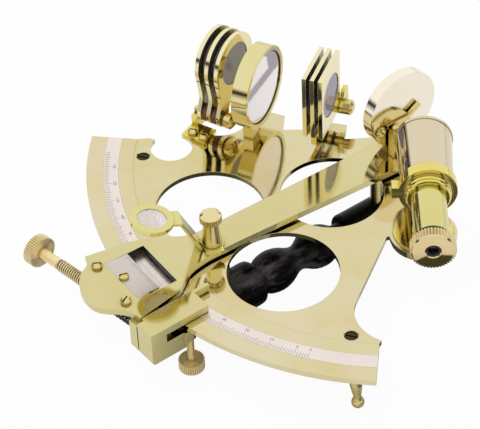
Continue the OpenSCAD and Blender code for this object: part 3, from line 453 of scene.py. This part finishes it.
# %% Scale lines
ZERO_AT = 31.0
DEGREES_PER_UNIT = 0.522
FIRST_UNIT = -5
LAST_UNIT = 138
MARK_TOP = FACE_Z + 0.03 * MM
MARK_SINK = FACE_Z - 0.02 * MM
MARK_OUT = 150.9 * MM
LINE_W = 0.2 * MM
TENTH_LINE = 3.6 * MM
FIFTH_LINE = 3.2 * MM
UNIT_LINE = 2.4 * MM
BOX_FACES = ((0, 1, 3, 2), (4, 5, 7, 6), (0, 1, 5, 4), (2, 3, 7, 6), (0, 2, 6, 4), (1, 3, 7, 5))


def add_box(bm, low, high, place):
    corners = []
    for z in (low[2], high[2]):
        for y in (low[1], high[1]):
            for x in (low[0], high[0]):
                corners.append(bm.verts.new(place @ Vector((x, y, z))))
    for face in BOX_FACES:
        bm.faces.new([corners[i] for i in face])


def at_unit(unit):
    return spin(math.radians(ZERO_AT - unit * DEGREES_PER_UNIT))


def line_length(unit):
    if unit % 10 == 0:
        return TENTH_LINE
    return FIFTH_LINE if unit % 5 == 0 else UNIT_LINE


def scale_lines(bm):
    for unit in range(FIRST_UNIT, LAST_UNIT + 1):
        low = (-LINE_W / 2, -MARK_OUT, MARK_SINK)
        high = (LINE_W / 2, -MARK_OUT + line_length(unit), MARK_TOP)
        add_box(bm, low, high, at_unit(unit))


piece("scale_lines", scale_lines, engraved_black, "frame")

# %% [markdown]
# ## Numbers on the arc
# Every tenth line has its number, and so has the line that starts the scale
# beyond zero. Figures could be drawn as outlines. A text curve is quicker: it
# is turned into a mesh, moved to its line and then thrown away.

# %% Scale numbers
NUMBER_HEIGHT = 2.3 * MM
NUMBERS_AT = 145.6 * MM
NUMBER_DEPTH = 0.02 * MM


def add_number(bm, words, height, place):
    curve = bpy.data.curves.new("digits", "FONT")
    curve.body = words
    curve.size = height
    curve.align_x = "CENTER"
    curve.align_y = "CENTER"
    curve.extrude = NUMBER_DEPTH
    holder = bpy.data.objects.new("digits", curve)
    bpy.context.scene.collection.objects.link(holder)
    bpy.context.view_layer.update()
    seen = holder.evaluated_get(bpy.context.evaluated_depsgraph_get())
    mesh = bpy.data.meshes.new_from_object(seen)
    mesh.transform(place)
    bm.from_mesh(mesh)
    bpy.data.meshes.remove(mesh)
    bpy.data.objects.remove(holder)
    bpy.data.curves.remove(curve)


def scale_numbers(bm):
    for unit in (FIRST_UNIT, *range(0, LAST_UNIT + 1, 10)):
        place = at_unit(unit) @ shift(0, -NUMBERS_AT, FACE_Z)
        add_number(bm, str(abs(unit)), NUMBER_HEIGHT, place)


piece("scale_numbers", scale_numbers, engraved_black, "frame")

# %% [markdown]
# ## The vernier
# The vernier is a short scale on the arm, a shade finer than the arc's, so one
# of its lines always meets a line of the arc and tells the tenths. Its lines
# start at the edge that faces the window. They are the same thin boxes, drawn
# straight, because the plate is too short for the arc's curve to be seen.

# %% Vernier marks
VERNIER_EDGE = 153.9 * MM
VERNIER_LOW = ARM_TOP_Z - 0.02 * MM
VERNIER_TOP = ARM_TOP_Z + 0.03 * MM
VERNIER_HALF_LINE = 0.07 * MM
VERNIER_LINES = 25
LONG_LINE_EVERY = 6
VERNIER_START_MM = -14.2
VERNIER_STEP_MM = 1.08
LONG_LINE_MM = 2.4
SHORT_LINE_MM = 1.4


def vernier_lines(bm):
    for step in range(VERNIER_LINES):
        x = (VERNIER_START_MM + step * VERNIER_STEP_MM) * MM
        reach = (LONG_LINE_MM if step % LONG_LINE_EVERY == 0 else SHORT_LINE_MM) * MM
        low = (x - VERNIER_HALF_LINE, -VERNIER_EDGE - reach, VERNIER_LOW)
        add_box(bm, low, (x + VERNIER_HALF_LINE, -VERNIER_EDGE, VERNIER_TOP), ON_ARM)


piece("vernier_lines", vernier_lines, engraved_black, "arm")

# %% [markdown]
# ## The arm's window
# Two inner walls of the window in the arm get painted shade: a black coat
# stands for the dark they mirror. A second material on the arm's own faces
# would alter a solid of the construction, so a coat as thin as paint is laid on
# each wall instead.

# %% Window painted shade
WINDOW_LEFT = -16.6 * MM
WINDOW_RIGHT = 14.2 * MM
WINDOW_INNER = -143.9 * MM
WALL_LOW = 51 * MM
WALL_HIGH = 54.2 * MM
SHADE_COAT = 0.05 * MM


def window_blacking(bm):
    near = WINDOW_INNER - SHADE_COAT
    beside = WINDOW_LEFT + SHADE_COAT
    # Painted shade on the window's two inner walls.
    add_box(bm, (WINDOW_LEFT, near, WALL_LOW), (WINDOW_RIGHT, WINDOW_INNER, WALL_HIGH), ON_ARM)
    add_box(bm, (WINDOW_LEFT, -VERNIER_EDGE, WALL_LOW), (beside, near, WALL_HIGH), ON_ARM)


piece("window_blacking", window_blacking, black_and_painted_shade, "arm")

# %% [markdown]
# ## Screw threads
# A thread is one ridge wound round a shaft. The Screw modifier could wind it.
# Here it is made as a three-sided bar that climbs one pitch a turn, eases out
# and is closed at both ends, so that its mesh is a solid. It sits on the shaft
# that the construction already holds.

# %% A ridge round a shaft
RIDGE_HALF = 0.42  # half its width, as a share of the pitch
RIDGE_FOOT = 0.985  # where it meets the shaft, as a share of the radius
STEPS_A_TURN = 28


def add_thread(bm, radius, depth, pitch, start, end, place):
    count = int((end - start) / pitch * STEPS_A_TURN)
    half = RIDGE_HALF * pitch
    foot = radius * RIDGE_FOOT
    sections = []
    for i in range(count + 1):
        a = 2 * math.pi * i / STEPS_A_TURN
        x = start + pitch * i / STEPS_A_TURN
        ease = min(1.0, i / STEPS_A_TURN, (count - i) / STEPS_A_TURN)
        profile = ((x - half, foot), (x, radius + depth * ease), (x + half, foot))
        sections.append([
            bm.verts.new(place @ Vector((p, r * math.cos(a), r * math.sin(a)))) for p, r in profile])
    for here, there in zip(sections, sections[1:]):
        for k in range(3):
            n = (k + 1) % 3
            bm.faces.new((here[k], here[n], there[n], there[k]))
    bm.faces.new(sections[0])
    bm.faces.new(list(reversed(sections[-1])))


# %% [markdown]
# ## Turned shapes
# Anything made on a lathe is an outline swept round an axis. The Screw or Spin
# tools do the same. This helper works on plain points, a distance along X and a
# radius, both in millimetres, so each outline can be read as a drawing.

# %% An outline swept round
def in_mm(points):
    return [(x * MM, r * MM) for x, r in points]


def tube_outline(start, end, inner, outer):
    return in_mm(((start, inner), (end, inner), (end, outer), (start, outer)))


def turned(outline, place, steps=96):
    """A builder that sweeps a closed outline of (distance along X, radius) points round X."""
    count = len(outline)

    def build(bm):
        rings = []
        for i in range(steps):
            a = 2 * math.pi * i / steps
            rings.append([
                bm.verts.new(place @ Vector((x, r * math.cos(a), r * math.sin(a)))) for x, r in outline])
        for i in range(steps):
            here, there = rings[i], rings[(i + 1) % steps]
            for k in range(count):
                n = (k + 1) % count
                bm.faces.new((here[k], here[n], there[n], there[k]))
    return build


# %% [markdown]
# ## The tangent screw's thread
# This long screw moves the arm by hair's breadths. Its ridge is bright where
# the nut rubs it, and its root carries painted shade. One striped material could
# fake that, but a bright ridge over a thin dark sleeve of painted shade also
# shows it from the side.

# %% Tangent thread
TANGENT_FROM = -74
TANGENT_TO = -53.4
TANGENT_SHAFT_R = 2.78 * MM
TANGENT_DEPTH = 0.42 * MM
TANGENT_PITCH = 1.4 * MM
# A thin dark sleeve under the ridge: painted shade in the thread's grooves.
THREAD_ROOT_SHADE = tube_outline(TANGENT_FROM, TANGENT_TO, inner=2.7, outer=2.84)


def tangent_thread(bm):
    add_thread(bm, TANGENT_SHAFT_R, TANGENT_DEPTH, TANGENT_PITCH,
               TANGENT_FROM * MM, TANGENT_TO * MM, ON_TANGENT)


piece("tangent_thread", tangent_thread, knob_brass, "tangent")
piece("thread_root_painted_shade", turned(THREAD_ROOT_SHADE, ON_TANGENT), painted_shade_brass, "tangent")

# %% [markdown]
# ## The clamp screw's thread
# The clamp screw stands upright under the arc and holds the clamp fast. Its
# thread is finer, and is the same ridge on an axis that points up.

# %% Clamp thread
CLAMP_AXIS = shift(27 * MM, -153.3 * MM, 0) @ Matrix.Rotation(-math.pi / 2, 4, "Y")
CLAMP_SHAFT_R = 1.68 * MM
CLAMP_DEPTH = 0.2 * MM
CLAMP_PITCH = 0.7 * MM
CLAMP_FROM = 25 * MM
CLAMP_TO = 37.2 * MM


def clamp_thread(bm):
    add_thread(bm, CLAMP_SHAFT_R, CLAMP_DEPTH, CLAMP_PITCH, CLAMP_FROM, CLAMP_TO, CLAMP_AXIS)


piece("clamp_thread", clamp_thread, gold_brass, "clamp_knob")

# %% [markdown]
# ## The index mirror's clip
# A clip holds the index mirror, and its finger lies across the mirror's back.
# The construction has the clip as one flat bent strip. A rounded rod, turned
# from one outline and leant as the finger leans, gives the finger the bright
# line along its middle that the photograph shows.

# %% Clip finger
CLIP_FINGER = in_mm((
    (0, 0.05), (0.1, 0.7), (0.5, 1.1), (8.2, 1.25), (8.8, 1.0), (9.1, 0.6), (9.2, 0.05)))
FINGER_LEANS = math.radians(28.3)
FINGER_AT = shift(-1.1 * MM, 7.8 * MM, ARM_TOP_Z + 18 * MM)
ON_MIRROR_BACK = FINGER_AT @ Matrix.Rotation(FINGER_LEANS, 4, "X") @ spin(math.pi / 2)

piece("clip_finger", turned(CLIP_FINGER, ON_MIRROR_BACK, steps=32), gold_brass,
      "arm", smooth=True)

# %% [markdown]
# ## Stops in the telescope
# A telescope is blackened inside and has stops, discs with a hole, that cut off
# stray light. Without them its lenses would show bright bare brass. Each stop
# is a thin turned ring behind its lens. A black ring on the draw tube above its
# cap is painted shadow where the tube meets the cap.

# %% Stops and ring
EYE_STOP = tube_outline(start=-38.6, end=-38.0, inner=1.4, outer=7.4)
OBJECTIVE_STOP = tube_outline(start=27.6, end=28.2, inner=6.5, outer=10.2)
# Painted shadow where the draw tube meets the eyepiece cap.
DRAW_TUBE_SHADOW = tube_outline(start=-38.0, end=-36.6, inner=8.6, outer=8.95)

piece("eye_stop", turned(EYE_STOP, ON_TELESCOPE), black_and_painted_shade, "eyepiece")
piece("objective_stop", turned(OBJECTIVE_STOP, ON_TELESCOPE), black_and_painted_shade, "telescope")
piece("draw_tube_painted_shadow", turned(DRAW_TUBE_SHADOW, ON_TELESCOPE), black_and_painted_shade, "eyepiece")

# %% [markdown]
# ## Eye hole and collar
# The eye hole looks black, so a thin lining of painted shade follows its
# flare. At the barrel's rear a moulded collar closes the gap round the draw
# tube. Both are turned from outlines, because that is how they are made on the
# real instrument.

# %% Eye hole and collar
EYE_HOLE_SHADE = in_mm((
    (-45.0, 3.65), (-44.4, 3.02), (-42.5, 3.02), (-42.5, 2.6), (-44.5, 2.6), (-44.9, 3.4)))
COLLAR = in_mm((
    (-3.1, 10.1), (-3.1, 11.6), (-4.4, 11.6), (-5.0, 11.2), (-6.6, 11.2), (-7.2, 10.9),
    (-7.5, 10.3), (-7.5, 8.75), (-7.41, 8.75), (-7.41, 10.2), (-7.2, 10.25)))

# Painted shade: a black lining over the eye hole's flare and bore.
piece("eye_hole_painted_shade", turned(EYE_HOLE_SHADE, ON_TELESCOPE), black_and_painted_shade, "eyepiece")
piece("rear_collar", turned(COLLAR, ON_TELESCOPE), polished_brass, "telescope")

# %% [markdown]
# ## Painted shadow round the horizon mirror
# A thin dark line inside the horizon mirror's rim, where the glass sits a
# little below it, is painted shadow. A drawn line would need a texture; a flat
# ring just proud of the glass needs none.

# %% Mirror rim shadow
ON_HORIZON_MIRROR = shift(-60.5 * MM, -38.5 * MM, OPTIC_Z) @ spin(math.radians(26.9))
RIM_SHADOW = tube_outline(start=0.01, end=0.25, inner=19.35, outer=19.94)

# Painted shadow: a black ring inside the mirror's rim.
piece("mirror_rim_painted_shadow", turned(RIM_SHADOW, ON_HORIZON_MIRROR), black_and_painted_shade, "frame")

# %% [markdown]
# ## The white world
# The photograph is cut out on white. A world as bright as that would wash out
# every form, so its light has two strengths: full white for what the camera,
# metal and glass see of it, and under half of that for the light it casts.

# %% White world
WORLD_CAST = 0.45


def math_node(tree, operation, first, second):
    made = tree.nodes.new("ShaderNodeMath")
    made.operation = operation
    feed(tree, made.inputs[0], first)
    feed(tree, made.inputs[1], second)
    return made.outputs[0]


def mix_shaders(tree, factor, first, second):
    mixed = tree.nodes.new("ShaderNodeMixShader")
    for socket, value in zip(mixed.inputs, (factor, first, second)):
        tree.links.new(value, socket)
    return mixed.outputs[0]


def seen_directly(tree, in_metal=1.0):
    """1 for what the camera or a glass sees, in_metal for a reflection, 0 for scattered light."""
    path = tree.nodes.new("ShaderNodeLightPath")
    total = path.outputs["Is Camera Ray"]
    for name, share in (("Is Glossy Ray", in_metal), ("Is Transmission Ray", 1.0)):
        part = math_node(tree, "MULTIPLY", path.outputs[name], share)
        total = math_node(tree, "MAXIMUM", total, part)
    return total


def white_world():
    world = bpy.data.worlds.new("studio")
    world.use_nodes = True
    tree = world.node_tree
    shown = tree.nodes["Background"]
    shown.inputs["Strength"].default_value = 1.0
    shown.inputs["Color"].default_value = rgb(1, 1, 1)
    cast = tree.nodes.new("ShaderNodeBackground")
    cast.inputs["Strength"].default_value = WORLD_CAST
    mixed = mix_shaders(tree, seen_directly(tree), cast.outputs[0], shown.outputs[0])
    tree.links.new(mixed, tree.nodes["World Output"].inputs["Surface"])
    bpy.context.scene.world = world


white_world()
print("world casts:", WORLD_CAST)

# %% [markdown]
# ## The paper floor
# The sextant stands on white paper. Lit paper alone comes out grey, and glowing
# paper alone takes no shadow, so it is a blend: what the camera sees is mostly
# its own glow, the rest is lit and keeps the shadow. Reflections see half of
# that glow, so metal mirrors a floor a little darker than the paper.

# %% Floor
PAPER_WHITE = 0.9
PAPER_ROUGH = 0.9
GLOW_SHARE = 0.95
GLOW_IN_METAL = 0.5
FLOOR_HALF = 6


def paper():
    material = bpy.data.materials.new("white_paper")
    material.use_nodes = True
    tree = material.node_tree
    lit = tree.nodes["Principled BSDF"]
    lit.inputs["Base Color"].default_value = rgb(PAPER_WHITE, PAPER_WHITE, PAPER_WHITE)
    lit.inputs["Roughness"].default_value = PAPER_ROUGH
    glow = tree.nodes.new("ShaderNodeEmission")
    glow.inputs["Color"].default_value = rgb(1, 1, 1)
    glow.inputs["Strength"].default_value = 1.0
    share = math_node(tree, "MULTIPLY", seen_directly(tree, GLOW_IN_METAL), GLOW_SHARE)
    mixed = mix_shaders(tree, share, lit.outputs[0], glow.outputs[0])
    tree.links.new(mixed, tree.nodes["Material Output"].inputs["Surface"])
    return material


def stage_piece(name, builder, material):
    bm = bmesh.new()
    builder(bm)
    mesh = bpy.data.meshes.new(name)
    bm.to_mesh(mesh)
    bm.free()
    mesh.materials.append(material)
    made = bpy.data.objects.new(name, mesh)
    bpy.context.scene.collection.objects.link(made)
    print("stage:", name)
    return made


def floor_sheet(bm):
    far = FLOOR_HALF
    bm.faces.new([bm.verts.new((x, y, 0.0)) for x, y in ((-far, -far), (far, -far), (far, far), (-far, far))])


stage_piece("floor", floor_sheet, paper())

# %% [markdown]
# ## The dark band
# Polished metal only shows what stands around it, and in a white studio it
# would look like paper. Photographers stand black boards beside it. Here a low
# band round the front and sides, dark in the middle of its height and open at
# the back, gives edges and round pieces their dark streaks. Only reflections
# see it, so it casts no shadow and isn't in the picture itself.

# %% Dark band
BAND_R = 1.3
BAND_LOW = 0.0
BAND_HIGH = 0.52
BAND_FROM = math.radians(185)
BAND_TO = math.radians(440)
BAND_STEPS = 64


def dark_wall(bm):
    angles = [BAND_FROM + (BAND_TO - BAND_FROM) * i / BAND_STEPS for i in range(BAND_STEPS + 1)]
    rows = [[bm.verts.new((BAND_R * math.cos(a), BAND_R * math.sin(a), z)) for a in angles]
            for z in (BAND_LOW, BAND_HIGH)]
    for i in range(BAND_STEPS):
        bm.faces.new((rows[0][i], rows[0][i + 1], rows[1][i + 1], rows[1][i]))


def soft_dark():
    """Dark in the middle of its height, fading to nothing at both edges."""
    finish = Finish("soft_dark")
    height = finish.node("ShaderNodeSeparateXYZ", {0: finish.coords}).outputs["Z"]
    middle = 0.5 * (BAND_LOW + BAND_HIGH)
    tall = BAND_HIGH - BAND_LOW
    off = finish.node("ShaderNodeMath", {0: height, 1: middle}, operation="SUBTRACT").outputs[0]
    away = finish.node("ShaderNodeMath", {0: off}, operation="ABSOLUTE").outputs[0]
    finish.join(finish.spread(away, low=0.97, high=0.0, start=0.1 * tall, end=0.5 * tall), "Alpha")
    finish.set(Base_Color=rgb(0.03, 0.025, 0.01), Roughness=1.0, Specular_IOR_Level=0.0)
    return finish.material


def only_reflected(name, builder, material):
    made = stage_piece(name, builder, material)
    made.visible_camera = False
    made.visible_diffuse = False
    made.visible_shadow = False
    made.visible_transmission = False


only_reflected("dark_band", dark_wall, soft_dark())

# %% [markdown]
# ## Floor cards
# Two glowing cards on the floor are painted reflections: the horizon mirror
# shows a grey shape, and the eyepiece's cap is dark in its lower third. Cards
# could be pushed about until they show there. Here each corner is a place on
# the piece, across and up from its centre in millimetres, and the camera's line
# of sight is mirrored in the piece and followed down to the floor. So the cards
# fit the photograph's angle alone, and other views see them elsewhere or not at all.

# %% Floor cards
MIRROR_CARDS = (
    ((-19, 2.7), (-19, 8.8), (6.7, 7.9), (13.3, 1.6)),
    ((6.7, 7.9), (5.1, 16), (-1, 22), (14, 20), (20, 6), (18, 1), (13.3, 1.6)))
CAP_CARDS = (((-12, -7.3), (-1.4, -1.5), (9.4, -2.4), (13, -3), (13, -14), (-12, -14)),)
CARD_Z = 0.0004
CAP_FACE = ON_TELESCOPE @ shift(-45.4 * MM, 0, 0)


def floor_cards(shapes, place, outward):
    """Floor cards that the camera sees at these shapes on a flat piece facing outward."""
    normal = (place.to_3x3() @ Vector(outward)).normalized()
    sideways = Vector((-normal.y, normal.x, 0))

    def seen_at(across, up):
        at = place.translation + (sideways * across + Vector((0, 0, up))) * MM
        sight = (at - Vector(CAMERA_AT)).normalized()
        ray = sight - 2 * sight.dot(normal) * normal
        return at + ray * (CARD_Z - at.z) / ray.z

    def build(bm):
        for corners in shapes:
            bm.faces.new([bm.verts.new(seen_at(*corner)) for corner in corners])
    return build


# Painted reflection: a card that glows in a flat colour and is seen only in reflections.
def card(name, colour):
    finish = Finish(name)
    finish.set(Base_Color=rgb(0, 0, 0), Roughness=1.0, Specular_IOR_Level=0.0,
               Emission_Color=rgb(*colour), Emission_Strength=1.0)
    return finish.material


only_reflected("grey_card", floor_cards(MIRROR_CARDS, ON_HORIZON_MIRROR, (1, 0, 0)),
               card("card_grey", (0.42, 0.40, 0.42)))
only_reflected("dark_card", floor_cards(CAP_CARDS, CAP_FACE, (-1, 0, 0)),
               card("card_dark", (0.07, 0.065, 0.04)))

# %% [markdown]
# ## The shadow in the metal
# The sextant's own metal mirrors the shade under it. The glowing floor hides
# most of that shade from reflections, so two soft dark discs bring it back, one
# under the arc and one under the eyepiece. Each fades from its core to its edge.

# %% Shadow discs
SHADOWS = {"shadow_arc": ((0.0, -0.09), 0.105), "shadow_eye": ((0.108, -0.064), 0.062)}
SHADOW_Z = 0.0003
SHADOW_CORE = 0.55
DISC_STEPS = 48


def disc(centre, radius):
    def build(bm):
        rim = []
        for i in range(DISC_STEPS):
            a = 2 * math.pi * i / DISC_STEPS
            x = centre[0] + radius * math.cos(a)
            y = centre[1] + radius * math.sin(a)
            rim.append(bm.verts.new((x, y, SHADOW_Z)))
        bm.faces.new(rim)
    return build


def shadow_dark(name, centre, radius):
    finish = Finish(name)
    away = finish.node("ShaderNodeVectorMath", {0: finish.coords, 1: (*centre, 0)},
                       operation="DISTANCE").outputs["Value"]
    finish.join(finish.spread(away, low=0.92, high=0.0, start=SHADOW_CORE * radius, end=radius), "Alpha")
    finish.set(Base_Color=rgb(0.05, 0.042, 0.015), Roughness=1.0, Specular_IOR_Level=0.0)
    return finish.material


for name, (centre, radius) in SHADOWS.items():
    only_reflected(name, disc(centre, radius), shadow_dark(name, centre, radius))

# %% [markdown]
# ## Lamps
# Three large soft lamps light the sextant: a key from the front right, a fill
# from the left and a rim light from behind. Small lamps would give hard
# highlights, and even large ones would show as white squares in the brass, so
# metal doesn't see them. Each has a name, a place, a power in watts and a size.

# %% Lamps
LAMPS = (
    ("key", (0.5, -0.7, 1.3), 9.0, 0.7),
    ("fill", (-0.9, -0.6, 0.9), 5.0, 0.9),
    ("rim", (-0.3, 1.0, 0.9), 5.0, 0.8),
)
LAMPS_AIM_AT = Vector((0, -0.08, 0.05))
for name, at, power, size in LAMPS:
    lamp = bpy.data.objects.new(name, bpy.data.lights.new(name, "AREA"))
    lamp.data.energy = power
    lamp.data.size = size
    lamp.visible_glossy = False
    lamp.location = at
    lamp.rotation_euler = (LAMPS_AIM_AT - Vector(at)).to_track_quat("-Z", "Y").to_euler()
    bpy.context.scene.collection.objects.link(lamp)
print("lamps:", [lamp[0] for lamp in LAMPS])
